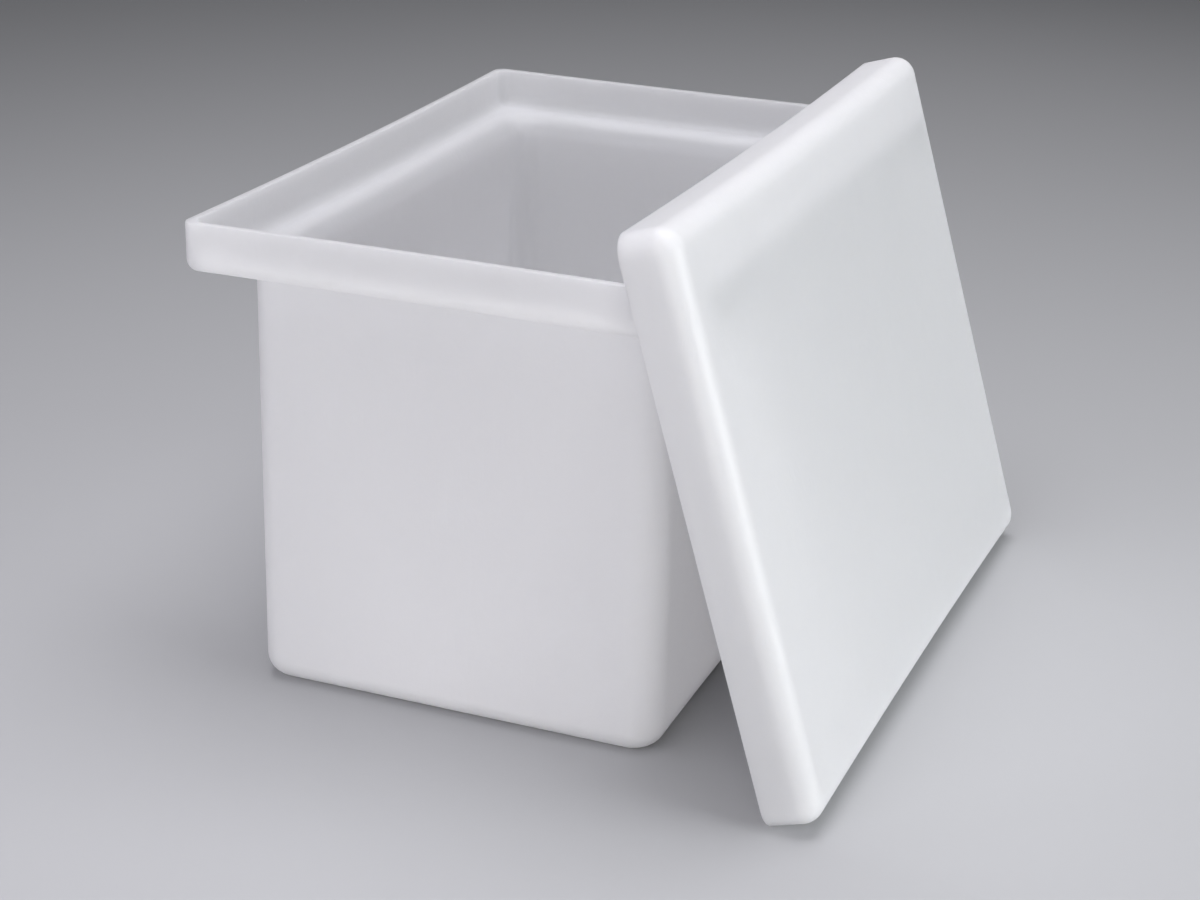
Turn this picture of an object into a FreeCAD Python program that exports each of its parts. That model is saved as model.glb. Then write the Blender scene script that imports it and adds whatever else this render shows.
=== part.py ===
"""Rectangular polypropylene tank with a flanged rim, and its lift-off cover leaning against it.

Units are millimetres. The origin is the centre of the tank's base, +Z is up, X runs across the
tank and Y along it. The tank and the cover are each one seamless moulding with an even wall, so
every hollow is its outer form moved in by the wall. The cover is modelled as it sits on the rim,
and is then leaned on the rim's +X side with its hollow towards the tank.
"""

import FreeCAD
import Part
import os
from math import cos, radians, sin
from FreeCAD import Vector

# Tank sizes
inside_width = 305.0  # 12 in across the tank, along X
inside_length = 457.0  # 18 in along Y
tank_height = 357.0  # base to the top of the rim
tank_wall = 6.35  # 1/4 in
body_corner_radius = 25.0  # upright outer corners of the body
base_edge_radius = 17.0  # outer edge round the base

# Rim sizes: the wall steps out over a shoulder, then turns up again as a lip
rim_overhang = 31.0  # body's outer face to the lip's outer face
rim_height = 36.5  # underside of the shoulder to the top of the lip
rim_corner_radius = 10.0  # upright outer corners of the lip
rim_edge_radius = 9.5  # outer edge where the lip turns into the shoulder
neck_radius = 6.0  # outer corner where the shoulder meets the body

# Cover sizes: a flat plate with a skirt that goes over the lip
cover_wall = 6.35
cover_gap = 12.0  # lip to skirt, on each side
skirt_depth = 34.0  # plate's underside to the skirt's free edge
cover_corner_radius = 16.5  # upright outer corners of the skirt
cover_edge_radius = 16.0  # outer edge where the plate turns into the skirt

# Moulded sides pull in as they cool, most at mid-span, and more where no plate holds them
body_pull_long = 3.0  # the two sides along Y
rim_pull_long = 5.0
rim_pull_short = 3.0  # the two sides along X
cover_pull_long = 3.0

# The lip and the skirt are cut to height, and the cut's two corners are scraped off
edge_break = 1.2

# How the cover stands beside the tank
lean_deg = 16.9  # plate from upright, top edge towards the tank
contact_clearance = 0.3  # plate's underside to the rim's corner

# Worked out from the sizes above
shoulder_z = tank_height - rim_height  # underside of the shoulder
body_half_x = inside_width / 2 + tank_wall
body_half_y = inside_length / 2 + tank_wall
rim_half_x = body_half_x + rim_overhang
rim_half_y = body_half_y + rim_overhang
cover_half_x = rim_half_x + cover_gap + cover_wall
cover_half_y = rim_half_y + cover_gap + cover_wall
skirt_rounding = cover_edge_radius - cover_wall  # inside, between plate and skirt
catch_room = max(skirt_rounding - rim_corner_radius, contact_clearance)
cover_shift = catch_room - cover_gap  # pushed along -Y until the far skirt catches the rim's end
overcut = 20.0  # how far a hollow's cutting body runs past the open end
same_level = 0.01  # two heights closer than this are one level


def side(start, end, pull):
    """One side of an outline, bowed towards the middle of the outline by pull at its mid-span."""
    if pull <= 0:
        return Part.LineSegment(start, end).toShape()
    middle = (start + end) * 0.5
    inwards = Vector(-middle.x, -middle.y, 0).normalize()
    return Part.Arc(start, middle + inwards * pull, end).toShape()


def outline(half_x, half_y, corner_radius, pull_long, pull_short=0.0):
    """Rectangle about the origin with bowed sides and round corners; the long sides run along Y."""
    corners = [
        Vector(half_x, -half_y, 0),
        Vector(half_x, half_y, 0),
        Vector(-half_x, half_y, 0),
        Vector(-half_x, -half_y, 0),
    ]
    pulls = [pull_long, pull_short, pull_long, pull_short]
    ends = corners[1:] + corners[:1]
    sides = [side(start, end, pull) for start, end, pull in zip(corners, ends, pulls)]
    rounds = []
    for this, corner in enumerate(ends):
        after = (this + 1) % len(sides)
        rounding = Part.ChFi2d.FilletAlgo(sides[this], sides[after], Part.Plane())
        rounding.perform(corner_radius)
        arc, sides[this], sides[after] = rounding.result(corner)
        rounds.append(arc)
    return Part.Wire(Part.__sortEdges__(sides + rounds))


def block(wire, low_z, high_z):
    """Upright block on an outline."""
    solid = Part.Face(wire).extrude(Vector(0, 0, high_z - low_z))
    solid.translate(Vector(0, 0, low_z))
    return solid


def inner_radius(outer_radius, inset):
    """Radius of an outer rounding once its face has moved in, never sharper than a cut edge."""
    return max(outer_radius - inset, edge_break)


def level_edges(solid, z):
    """Edges that lie in the level plane z."""
    found = []
    for edge in solid.Edges:
        box = edge.BoundBox
        if abs(box.ZMin - z) < same_level and abs(box.ZMax - z) < same_level:
            found.append(edge)
    return found


def neck_edges(form, z):
    """Edges in the level plane z where the shoulder meets the body, inside the rim's own edges."""
    reach_x = body_half_x + rim_overhang / 2
    reach_y = body_half_y + rim_overhang / 2
    found = []
    for edge in level_edges(form, z):
        centre = edge.BoundBox.Center
        if abs(centre.x) < reach_x and abs(centre.y) < reach_y:
            found.append(edge)
    return found


def tank_form(inset, top_z):
    """The tank's outer form moved in by inset: a round-edged body that widens into the rim."""
    floor_z = inset
    step_z = shoulder_z + inset
    body_outline = outline(
        body_half_x - inset,
        body_half_y - inset,
        inner_radius(body_corner_radius, inset),
        body_pull_long,
    )
    body = block(body_outline, floor_z, step_z + rim_height / 2)
    body = body.makeFillet(inner_radius(base_edge_radius, inset), level_edges(body, floor_z))
    rim_outline = outline(
        rim_half_x - inset,
        rim_half_y - inset,
        inner_radius(rim_corner_radius, inset),
        rim_pull_long,
        rim_pull_short,
    )
    rim = block(rim_outline, step_z, top_z)
    rim = rim.makeFillet(inner_radius(rim_edge_radius, inset), level_edges(rim, step_z))
    form = body.fuse(rim)
    return form.makeFillet(neck_radius + inset, neck_edges(form, step_z))


def tank_moulding():
    """The tank: outer form less its hollow, with the lip's cut edge broken."""
    solid = tank_form(0.0, tank_height).cut(tank_form(tank_wall, tank_height + overcut))
    return solid.makeChamfer(edge_break, level_edges(solid, tank_height))


def cover_form(inset, mouth_z):
    """The cover's outer form moved in by inset; level 0 is the plate's underside."""
    top_z = cover_wall - inset
    cover_outline = outline(
        cover_half_x - inset,
        cover_half_y - inset,
        inner_radius(cover_corner_radius, inset),
        cover_pull_long,
    )
    form = block(cover_outline, mouth_z, top_z)
    return form.makeFillet(inner_radius(cover_edge_radius, inset), level_edges(form, top_z))


def cover_moulding():
    """The cover with its mouth down: outer form less its hollow, with the free edge broken."""
    solid = cover_form(0.0, -skirt_depth).cut(cover_form(cover_wall, -skirt_depth - overcut))
    return solid.makeChamfer(edge_break, level_edges(solid, -skirt_depth))


def exact_box(solid):
    return solid.optimalBoundingBox(False, False)


def lean(cover, rim_reach):
    """Stands the cover on a long edge and leans its plate on the rim, rim_reach out from x = 0."""
    angle = radians(lean_deg)
    leaning = cover.copy()
    leaning.rotate(Vector(0, 0, 0), Vector(0, 1, 0), 90.0 - lean_deg)
    raised = -exact_box(leaning).ZMin
    # The plate's underside was at level 0, so it holds the origin still and has this normal
    normal = Vector(cos(angle), 0, sin(angle))
    lip_corner = Vector(rim_reach, 0, tank_height - edge_break)
    plate_distance = lip_corner.dot(normal) + contact_clearance
    moved_out = (plate_distance - raised * normal.z) / normal.x
    leaning.translate(Vector(moved_out, cover_shift, raised))
    return leaning


os.makedirs("parts", exist_ok=True)
tank = tank_moulding()
cover = lean(cover_moulding(), exact_box(tank).XMax)
for name, solid in {"tank": tank, "cover": cover}.items():
    print(name, "valid", solid.isValid(), "solids", len(solid.Solids), exact_box(solid))
    solid.exportStep(f"parts/{name}.step")
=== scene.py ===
import bmesh
import bpy
from math import cos, pi, radians, sin
from mathutils import Matrix, Vector


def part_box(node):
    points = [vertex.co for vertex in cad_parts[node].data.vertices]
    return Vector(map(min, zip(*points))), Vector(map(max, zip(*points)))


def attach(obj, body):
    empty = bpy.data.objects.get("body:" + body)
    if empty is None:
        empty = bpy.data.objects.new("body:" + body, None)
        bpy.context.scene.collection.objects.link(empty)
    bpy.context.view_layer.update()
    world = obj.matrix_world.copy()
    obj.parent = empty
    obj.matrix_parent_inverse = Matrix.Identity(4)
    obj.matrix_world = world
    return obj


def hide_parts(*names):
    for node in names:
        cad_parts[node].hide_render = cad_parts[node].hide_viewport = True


# A rectangular tank of natural polypropylene with its cover leaning on the rim.
# Each is one rotational moulding: a skin against the mould and a softer skin on the free side,
# joined where the mouth was sawn to height.

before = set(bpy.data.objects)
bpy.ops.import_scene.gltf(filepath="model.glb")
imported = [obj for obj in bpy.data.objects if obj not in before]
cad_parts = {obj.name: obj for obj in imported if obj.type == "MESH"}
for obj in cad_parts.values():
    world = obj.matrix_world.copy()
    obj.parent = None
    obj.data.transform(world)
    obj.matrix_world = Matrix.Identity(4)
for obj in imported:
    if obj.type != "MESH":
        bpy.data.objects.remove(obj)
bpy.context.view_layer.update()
scene = bpy.context.scene
print("stage: frame loaded,", len(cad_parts), "nodes")


# Shader graph helpers

class Wire:  # one output socket, so that shader maths reads as a sum
    def __init__(self, finish, socket):
        self.finish = finish
        self.socket = socket

    def maths(self, operation, first, second):
        return self.finish.node("Math", {"operation": operation}, {0: first, 1: second})

    def __add__(self, other):
        return self.maths("ADD", self, other)

    __radd__ = __add__

    def __sub__(self, other):
        return self.maths("SUBTRACT", self, other)

    def __rsub__(self, other):
        return self.maths("SUBTRACT", other, self)

    def __mul__(self, other):
        return self.maths("MULTIPLY", self, other)

    __rmul__ = __mul__


class Finish:  # one material and the nodes in it
    def __init__(self, name):
        self.material = bpy.data.materials.new(name)
        self.material.use_nodes = True
        self.tree = self.material.node_tree
        self.tree.nodes.clear()
        self.place = self.node("TexCoord", output="Object")

    def node(self, kind, settings=None, sockets=None, output=0):
        made = self.tree.nodes.new("ShaderNode" + kind)
        for name, value in (settings or {}).items():
            if name == "stops":
                self.setStops(made.color_ramp, value)
            else:
                setattr(made, name, value)
        for name, value in (sockets or {}).items():
            if isinstance(value, Wire):
                self.tree.links.new(value.socket, made.inputs[name])
            else:
                made.inputs[name].default_value = value
        return Wire(self, made.outputs[output]) if made.outputs else made

    def setStops(self, ramp, stops):
        while len(ramp.elements) < len(stops):
            ramp.elements.new(1.0)
        for element, (position, grey) in zip(ramp.elements, stops):
            element.position = position
            element.color = (grey, grey, grey, 1.0)

    def fade(self, value, low, high):
        # 0 below low, 1 above high
        return self.node("ValToRGB", {"stops": ((low, 0.0), (high, 1.0))}, {"Fac": value})

    def blend(self, amount, first, second):
        return self.node("Mix", {"data_type": "RGBA"}, {0: amount, 6: first, 7: second}, 2)

    def clouds(self, size, detail=2.0, stretch=(1.0, 1.0, 1.0), turn=(0.0, 0.0, 0.0)):
        # size is one patch across, in metres
        placed = self.node("Mapping", {}, {"Vector": self.place, "Rotation": turn, "Scale": stretch})
        return self.node("TexNoise", {}, {"Vector": placed, "Scale": 1.0 / size, "Detail": detail}, "Fac")

    def bump(self, height, distance, strength, under=None):
        sockets = {"Height": height, "Distance": distance, "Strength": strength}
        if under:
            sockets["Normal"] = under
        return self.node("Bump", {}, sockets)

    def shade(self, **sockets):
        named = {name.replace("_", " "): value for name, value in sockets.items()}
        self.node("OutputMaterial", {}, {"Surface": self.node("BsdfPrincipled", {}, named)})
        return self.material


# Natural polypropylene: waxy and translucent, so its look comes mostly from light in the wall

mouldedLook = {
    "colour": (0.972, 0.969, 0.978, 1.0),
    "cloudier": (0.940, 0.938, 0.952, 1.0),
    "roughness": 0.44,
    "scatterDepth": 0.055,  # metres that light travels in the wall
    "cloudSize": 0.11, "mottleSize": 0.012,
    "waveSize": 0.085, "waveHeight": 0.004,  # slow unevenness of a wall that cooled free
    "peelSize": 0.0035, "peelHeight": 0.0002,  # fine skin
    "scuffSize": 0.004, "scuffDepth": 0.00015,  # rubbing marks, mostly upright
    "toothSize": 0.0007, "toothHeight": 0.0004,  # what the saw left on the mouth
    "sawnFade": (0.0010, 0.0006),  # where the sawn look starts and is full, below the cut
}
coverLook = dict(mouldedLook, scatterDepth=0.025)  # its plate lets less light through


def naturalPolypropylene(name, look, mouthWay, mouthLevel):
    # the mouth was sawn at mouthLevel along mouthWay, and is rougher there
    finish = Finish(name)
    clouds = finish.clouds(look["cloudSize"], 3.0)
    mottle = finish.clouds(look["mottleSize"], 2.0)
    tint = finish.blend(finish.fade(clouds * 0.7 + mottle * 0.3, 0.35, 0.7), look["colour"], look["cloudier"])
    reach = finish.node("VectorMath", {"operation": "DOT_PRODUCT"}, {0: finish.place, 1: mouthWay}, "Value")
    fadeStart, fadeEnd = look["sawnFade"]
    sawn = finish.node("MapRange", {}, {
        "Value": reach, "From Min": mouthLevel - fadeStart, "From Max": mouthLevel - fadeEnd,
    })
    rubs = finish.clouds(look["scuffSize"], 4.0, (1.0, 1.0, 0.08), (0.5, 0.2, 0.3))
    handled = finish.fade(finish.clouds(0.07, 2.0), 0.5, 0.68)
    scuffs = finish.fade(rubs, 0.56, 0.66) * handled
    soft = finish.bump(finish.clouds(look["waveSize"], 1.0), look["waveHeight"], 0.5)
    skin = finish.bump(finish.clouds(look["peelSize"], 2.0), look["peelHeight"], 0.5, soft)
    marked = finish.bump(1 - scuffs, look["scuffDepth"], 0.5, skin)
    teeth = finish.clouds(look["toothSize"], 3.0)
    return finish.shade(
        Base_Color=tint,
        Roughness=look["roughness"] + 0.10 * (mottle - 0.5) + 0.12 * scuffs + 0.25 * sawn,
        Normal=finish.bump(teeth * sawn, look["toothHeight"], 0.6, marked),
        IOR=1.49,
        Subsurface_Weight=1.0,
        Subsurface_Radius=(1.0, 0.98, 0.94),
        Subsurface_Scale=look["scatterDepth"],
    )


# Modelling helpers

def planFace(bm, halfX, halfY, corner, z, segments):
    # a flat rectangle about the z axis with its four corners rounded
    known = set(bm.faces)
    plan = Matrix.Translation((0, 0, z)) @ Matrix.Diagonal((halfX, halfY, 1, 1))
    corners = bmesh.ops.create_grid(bm, x_segments=1, y_segments=1, size=1, matrix=plan)["verts"]
    bmesh.ops.bevel(bm, geom=corners, offset=corner, offset_type="OFFSET", affect="VERTICES",
                    segments=segments, profile=0.5, material=-1)
    return next(face for face in bm.faces if face not in known)


def raiseEdges(bm, edges, lift):
    # walls drawn up or down from a loop; gives back the loop at their far side
    drawn = bmesh.ops.extrude_edge_only(bm, edges=edges)["geom"]
    verts = [part for part in drawn if isinstance(part, bmesh.types.BMVert)]
    bmesh.ops.translate(bm, verts=verts, vec=(0, 0, lift))
    moved = set(verts)
    return [part for part in drawn if isinstance(part, bmesh.types.BMEdge) and set(part.verts) <= moved]


def roundOver(bm, edges, radius, segments):
    bmesh.ops.bevel(bm, geom=edges, offset=radius, offset_type="OFFSET", affect="EDGES",
                    segments=segments, profile=0.5, material=-1, loop_slide=True)


def cutAcross(bm, axis, places):
    # rings of points that let a side bow and its shading stay even
    normal = Vector((0, 0, 0))
    normal[axis] = 1
    for place in places:
        everything = bm.verts[:] + bm.edges[:] + bm.faces[:]
        bmesh.ops.bisect_plane(bm, geom=everything, dist=1e-6, plane_co=normal * place, plane_no=normal)


def spread(low, high, count):
    return [low + (high - low) * step / (count - 1) for step in range(count)]


def bridgeLevel(bm, outer, inner):
    # two loops on one level; one is lifted while they are bridged, so that their points pair up
    lift = 0.1
    verts = list({vert for edge in outer for vert in edge.verts})
    bmesh.ops.translate(bm, verts=verts, vec=(0, 0, lift))
    bmesh.ops.bridge_loops(bm, edges=outer + inner)
    bmesh.ops.translate(bm, verts=verts, vec=(0, 0, -lift))


def joinSkins(bm, outerMouth, innerMouth):
    # the sawn face between the two skins closes the moulding
    bridgeLevel(bm, outerMouth, innerMouth)
    bmesh.ops.recalc_face_normals(bm, faces=bm.faces)


def sawnEdges(bm, z):
    # the two sharp loops where the mouth was sawn to height
    level = [edge for edge in bm.edges if all(abs(vert.co.z - z) < 1e-6 for vert in edge.verts)]
    return [edge for edge in level if edge.calc_face_angle() > 1]


def finishPiece(name, bm, material, node):
    # the piece goes on the body named after the node, and the node's own mesh is hidden
    mesh = bpy.data.meshes.new(name)
    for face in bm.faces:
        face.smooth = True
    bm.to_mesh(mesh)
    bm.free()
    mesh.materials.append(material)
    piece = bpy.data.objects.new(name, mesh)
    scene.collection.objects.link(piece)
    even = piece.modifiers.new("evenShading", "WEIGHTED_NORMAL")
    even.mode = "FACE_AREA"
    even.weight = 60
    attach(piece, node)
    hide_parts(node)
    print("stage:", name, "made,", len(mesh.polygons), "faces")


# Tank

tankShape = {
    "halfX": 0.15885, "halfY": 0.23485,  # body, outside
    "height": 0.357,
    "wall": 0.00635,
    "overhang": 0.031,  # body to lip
    "rimHeight": 0.0365,
    "neckRing": 0.019,  # width of shoulder that follows the body's corners
    "bodyBow": 0.003,
    "rimBowLong": 0.005,
    "rimBowShort": 0.003,
    "cutEdge": 0.0012,  # broken edges of the sawn mouth
}
# radii against the mould, and the softer ones on the free side, where the melt ran together
mouldSide = {"bodyCorner": 0.025, "baseEdge": 0.017, "neck": 0.006, "rimCorner": 0.010, "rimEdge": 0.0095}
freeSide = {"bodyCorner": 0.0225, "baseEdge": 0.018, "neck": 0.0185, "rimCorner": 0.0095, "rimEdge": 0.009}


def bowTank(bm, shape):
    # shrinkage draws the long sides in, and the rim's sides more than the body's
    for vert in bm.verts:
        x, y, _ = vert.co
        overX = min(max((abs(x) - shape["halfX"]) / shape["overhang"], 0), 1)  # 0 on the body, 1 at the lip
        overY = min(max((abs(y) - shape["halfY"]) / shape["overhang"], 0), 1)
        shareX = min(abs(x) / shape["halfX"], 1)
        shareY = min(abs(y) / shape["halfY"], 1)
        alongY = max(1 - (y / (shape["halfY"] + overX * shape["overhang"])) ** 2, 0)  # 1 at mid-span
        alongX = max(1 - (x / (shape["halfX"] + overY * shape["overhang"])) ** 2, 0)
        longBow = shape["bodyBow"] + (shape["rimBowLong"] - shape["bodyBow"]) * overX
        pullX = longBow * shareX * alongY
        pullY = shape["rimBowShort"] * overY * shareY * alongX
        vert.co.x -= pullX if x > 0 else -pullX
        vert.co.y -= pullY if y > 0 else -pullY


def tankSkin(bm, shape, radii, inset):
    # the body and rim moved in by inset; gives back the loop at the top of the lip
    cornerSegments = 14
    halfX, halfY = shape["halfX"] - inset, shape["halfY"] - inset
    rimX, rimY = halfX + shape["overhang"], halfY + shape["overhang"]
    corner, ringWidth = radii["bodyCorner"], shape["neckRing"]
    shoulder = shape["height"] - shape["rimHeight"] + inset
    base = planFace(bm, halfX, halfY, corner, inset, cornerSegments)
    baseEdges = base.edges[:]
    neckEdges = raiseEdges(bm, baseEdges, shoulder - inset)
    ring = planFace(bm, halfX + ringWidth, halfY + ringWidth, corner + ringWidth, shoulder, cornerSegments)
    ringEdges = ring.edges[:]
    bmesh.ops.delete(bm, geom=[ring], context="FACES_ONLY")
    bridgeLevel(bm, ringEdges, neckEdges)
    roundOver(bm, neckEdges, radii["neck"], 8)
    roundOver(bm, baseEdges, radii["baseEdge"], 12)
    rim = planFace(bm, rimX, rimY, radii["rimCorner"], shoulder, cornerSegments)
    rimEdges = rim.edges[:]
    lipEdges = raiseEdges(bm, rimEdges, shape["height"] - shoulder)
    known = set(bm.faces)
    roundOver(bm, rimEdges, radii["rimEdge"], 9)
    under = [face for face in bm.faces if face not in known and len(face.verts) > 4]
    underEdges = under[0].edges[:]
    bmesh.ops.delete(bm, geom=under, context="FACES_ONLY")
    bridgeLevel(bm, underEdges, ringEdges)
    return lipEdges


def makeTank(shape, look):
    clearOfCorner = mouldSide["bodyCorner"] + 0.008
    cutX, cutY = shape["halfX"] - clearOfCorner, shape["halfY"] - clearOfCorner
    shoulder = shape["height"] - shape["rimHeight"]
    bm = bmesh.new()
    outerMouth = tankSkin(bm, shape, mouldSide, 0)
    innerMouth = tankSkin(bm, shape, freeSide, shape["wall"])
    joinSkins(bm, outerMouth, innerMouth)
    cutAcross(bm, 1, spread(-cutY, cutY, 23))
    cutAcross(bm, 0, spread(-cutX, cutX, 15))
    cutAcross(bm, 2, spread(shape["wall"] + freeSide["baseEdge"] + 0.002, shoulder - 0.020, 17))
    cutAcross(bm, 2, [shoulder + shape["wall"] + freeSide["rimEdge"] + 0.003, shape["height"] - 0.006])
    bowTank(bm, shape)
    roundOver(bm, sawnEdges(bm, shape["height"]), shape["cutEdge"], 2)
    finish = naturalPolypropylene("tank_polypropylene", look, (0.0, 0.0, 1.0), shape["height"])
    finishPiece("tank_moulding", bm, finish, "tank")


# Cover

coverShape = {
    "halfX": 0.20820, "halfY": 0.28420,  # skirt, outside
    "wall": 0.00635,
    "skirt": 0.034,  # plate's underside to the cut edge
    "corner": 0.0165, "edge": 0.016,  # against the mould
    "innerCorner": 0.0145, "innerEdge": 0.014,
    "bow": 0.003,
    "cutEdge": 0.0012,
    "lean": 16.9,  # degrees from upright
    "clearance": 0.0003,  # plate's underside to the rim's corner
}


def coverSkin(bm, shape, corner, edge, inset):
    # the cover, mouth down, moved in by inset; gives back the loop at the skirt's cut edge
    plate = planFace(bm, shape["halfX"] - inset, shape["halfY"] - inset, corner, -inset, 14)
    plateEdges = plate.edges[:]
    mouthEdges = raiseEdges(bm, plateEdges, inset - shape["wall"] - shape["skirt"])
    roundOver(bm, plateEdges, edge, 12)
    return mouthEdges


def bowCover(bm, shape):
    for vert in bm.verts:
        x, y, _ = vert.co
        pull = shape["bow"] * min(abs(x) / shape["halfX"], 1) * max(1 - (y / shape["halfY"]) ** 2, 0)
        vert.co.x -= pull if x > 0 else -pull


def leanCover(bm, shape):
    # stood on a long edge, plate out, and leaned until it has the place of its solid
    turn = Matrix.Rotation(radians(90 - shape["lean"]), 3, "Y")
    bmesh.ops.rotate(bm, verts=bm.verts, cent=(0, 0, 0), matrix=turn)
    low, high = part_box("cover")
    own = [Vector([pick(vert.co[i] for vert in bm.verts) for i in range(3)]) for pick in (min, max)]
    bmesh.ops.translate(bm, verts=bm.verts, vec=((low + high) - (own[0] + own[1])) / 2)


def coverMouth(shape, tank):
    # which way the leaning cover's mouth faces, and how far along that way it was sawn
    angle = radians(shape["lean"])
    way = Vector((-cos(angle), 0.0, -sin(angle)))
    rimCorner = Vector((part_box("tank")[1][0], 0.0, tank["height"] - tank["cutEdge"]))
    return way, rimCorner.dot(way) - shape["clearance"] + shape["skirt"]


def makeCover(shape, look):
    cornerRoom = 0.025
    cutX, cutY = shape["halfX"] - cornerRoom, shape["halfY"] - cornerRoom
    cutLevel = -shape["wall"] - shape["skirt"]
    bm = bmesh.new()
    outerMouth = coverSkin(bm, shape, shape["corner"], shape["edge"], 0)
    innerMouth = coverSkin(bm, shape, shape["innerCorner"], shape["innerEdge"], shape["wall"])
    joinSkins(bm, outerMouth, innerMouth)
    cutAcross(bm, 1, spread(-cutY, cutY, 27))
    cutAcross(bm, 0, spread(-cutX, cutX, 19))
    cutAcross(bm, 2, [-shape["wall"] - shape["innerEdge"] - 0.003, cutLevel + 0.006])
    bowCover(bm, shape)
    roundOver(bm, sawnEdges(bm, cutLevel), shape["cutEdge"], 2)
    leanCover(bm, shape)
    finish = naturalPolypropylene("cover_polypropylene", look, *coverMouth(shape, tankShape))
    finishPiece("cover_moulding", bm, finish, "cover")


makeTank(tankShape, mouldedLook)
makeCover(coverShape, coverLook)


# Studio

studio = {
    "floor": (0.57, 0.575, 0.585, 1.0),
    "surround": (0.84, 0.86, 0.90, 1.0),
    "surroundStrength": 0.1,
}
softboxes = {
    # place, aimed at, width, depth, watts, colour
    "overhead": ((0.05, 0.05, 2.0), (0.07, 0.0, 0.2), 1.6, 1.5, 28, (0.965, 0.955, 1.0)),
    "lowRight": ((2.2, -0.2, 0.45), (0.25, 0.0, 0.2), 1.4, 0.8, 23, (0.955, 0.985, 1.0)),
    "front": ((-0.1, -1.35, 0.75), (0.05, -0.25, 0.3), 0.9, 0.6, 3.9, (0.94, 0.91, 1.0)),
    "lowFront": ((0.8, -1.7, 0.5), (0.2, -0.2, 0.2), 0.8, 0.5, 5.2, (1.0, 0.99, 0.94)),
    "left": ((-1.5, -1.0, 0.7), (0.0, -0.1, 0.2), 0.9, 0.7, 3.8, (0.94, 0.92, 1.0)),
    "highBack": ((-0.3, 2.2, 1.5), (0.0, 0.1, 0.2), 1.4, 1.0, 3.0, (0.99, 0.97, 1.0)),
}


def makeFloor():
    bm = bmesh.new()
    bmesh.ops.create_circle(bm, cap_ends=True, radius=14, segments=96)
    mesh = bpy.data.meshes.new("studio_floor")
    bm.to_mesh(mesh)
    bm.free()
    floor = bpy.data.objects.new("studio_floor", mesh)
    finish = Finish("studio_floor_paper")
    grain = finish.clouds(0.004, 3.0)
    mesh.materials.append(finish.shade(Base_Color=studio["floor"], Roughness=0.75 + 0.1 * grain,
                                       Normal=finish.bump(grain, 0.0002, 0.3)))
    scene.collection.objects.link(floor)


def makeLights():
    for name, (place, target, width, depth, watts, colour) in softboxes.items():
        light = bpy.data.lights.new(name, "AREA")
        light.shape = "RECTANGLE"
        light.size, light.size_y = width, depth
        light.energy = watts
        light.color = colour
        lamp = bpy.data.objects.new(name, light)
        lamp.location = place
        lamp.visible_camera = False
        lamp.rotation_euler = (Vector(target) - Vector(place)).to_track_quat("-Z", "Y").to_euler()
        scene.collection.objects.link(lamp)
    world = bpy.data.worlds.new("surround")
    world.use_nodes = True
    background = world.node_tree.nodes["Background"]
    background.inputs["Color"].default_value = studio["surround"]
    background.inputs["Strength"].default_value = studio["surroundStrength"]
    scene.world = world
    scene.view_settings.view_transform = "Standard"
    scene.view_settings.look = "None"


photoCamera = {
    "place": (0.682293, -1.676115, 0.843004),
    "yaw": 0.376244, "pitch": 0.377481, "roll": 0.024511,  # radians
    "lens": 2467.26 / 1200 * 36,
}


def makeCamera(view):
    data = bpy.data.cameras.new("photo_camera")
    data.sensor_width = 36
    data.lens = view["lens"]
    data.clip_start, data.clip_end = 0.05, 60
    camera = bpy.data.objects.new("photo_camera", data)
    aim = Matrix.Rotation(view["yaw"], 4, "Z") @ Matrix.Rotation(pi / 2 - view["pitch"], 4, "X")
    camera.matrix_world = Matrix.Translation(view["place"]) @ aim @ Matrix.Rotation(view["roll"], 4, "Z")
    scene.collection.objects.link(camera)
    scene.camera = camera


makeFloor()
makeLights()
makeCamera(photoCamera)
print("stage: floor, lights and camera set")
